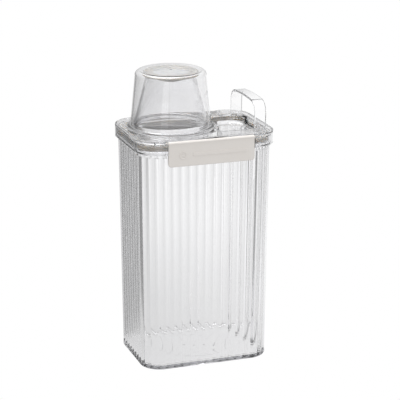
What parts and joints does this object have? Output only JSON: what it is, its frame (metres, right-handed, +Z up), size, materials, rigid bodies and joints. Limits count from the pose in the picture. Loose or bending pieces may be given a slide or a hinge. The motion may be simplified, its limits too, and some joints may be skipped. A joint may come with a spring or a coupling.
{
  "type": "detergent dispenser container",
  "caption": "Tall clear fluted detergent container with a clip-down lid, pouring spout with soft stopper, upturned measuring cup over it and a strap handle.",
  "frame": {"origin": "centre of the tub's flat underside", "axes": "+Z up, +X to the right when the named front latch faces the viewer, -Y is the front"},
  "size_m": [0.135, 0.1044, 0.2778],
  "materials": {
    "clear_plastic": "clear injection-moulded, glossy",
    "silicone": "translucent warm grey silicone, satin",
    "latch_plastic": "opaque warm light grey, fine satin"
  },
  "bodies": {
    "tub_body": {"tub": "clear_plastic", "latch_catches": "clear_plastic"},
    "lid_body": {"lid": "clear_plastic", "lid_gasket": "silicone", "spout": "clear_plastic", "carry_handle": "clear_plastic"},
    "front_latch_body": {"front_latch": "latch_plastic"},
    "rear_latch_body": {"rear_latch": "latch_plastic"},
    "cup_body": {"measuring_cup": "clear_plastic"},
    "stopper_body": {"spout_stopper": "silicone"}
  },
  "joints": [
    {"name": "lid_lift", "type": "slide", "parent": "tub_body", "child": "lid_body", "axis": [0, 0, 1], "range_m": [0, 0.045]},
    {"name": "front_latch_swing", "type": "hinge", "parent": "lid_body", "child": "front_latch_body", "pos_m": [0, -0.0502, 0.2206], "axis": [-1, 0, 0], "range_deg": [0, 130]},
    {"name": "rear_latch_swing", "type": "hinge", "parent": "lid_body", "child": "rear_latch_body", "pos_m": [0, 0.0502, 0.2206], "axis": [1, 0, 0], "range_deg": [0, 130]},
    {"name": "cup_lift", "type": "slide", "parent": "lid_body", "child": "cup_body", "axis": [0, 0, 1], "range_m": [0, 0.1]},
    {"name": "stopper_pull", "type": "slide", "parent": "lid_body", "child": "stopper_body", "axis": [0, 0, 1], "range_m": [0, 0.025]}
  ],
  "couplings": [
    {"joint": "front_latch_swing", "follows": "lid_lift", "rad_per_m": 50.4},
    {"joint": "rear_latch_swing", "follows": "lid_lift", "rad_per_m": 50.4},
    {"joint": "stopper_pull", "follows": "cup_lift", "ratio": 0.24}
  ]
}
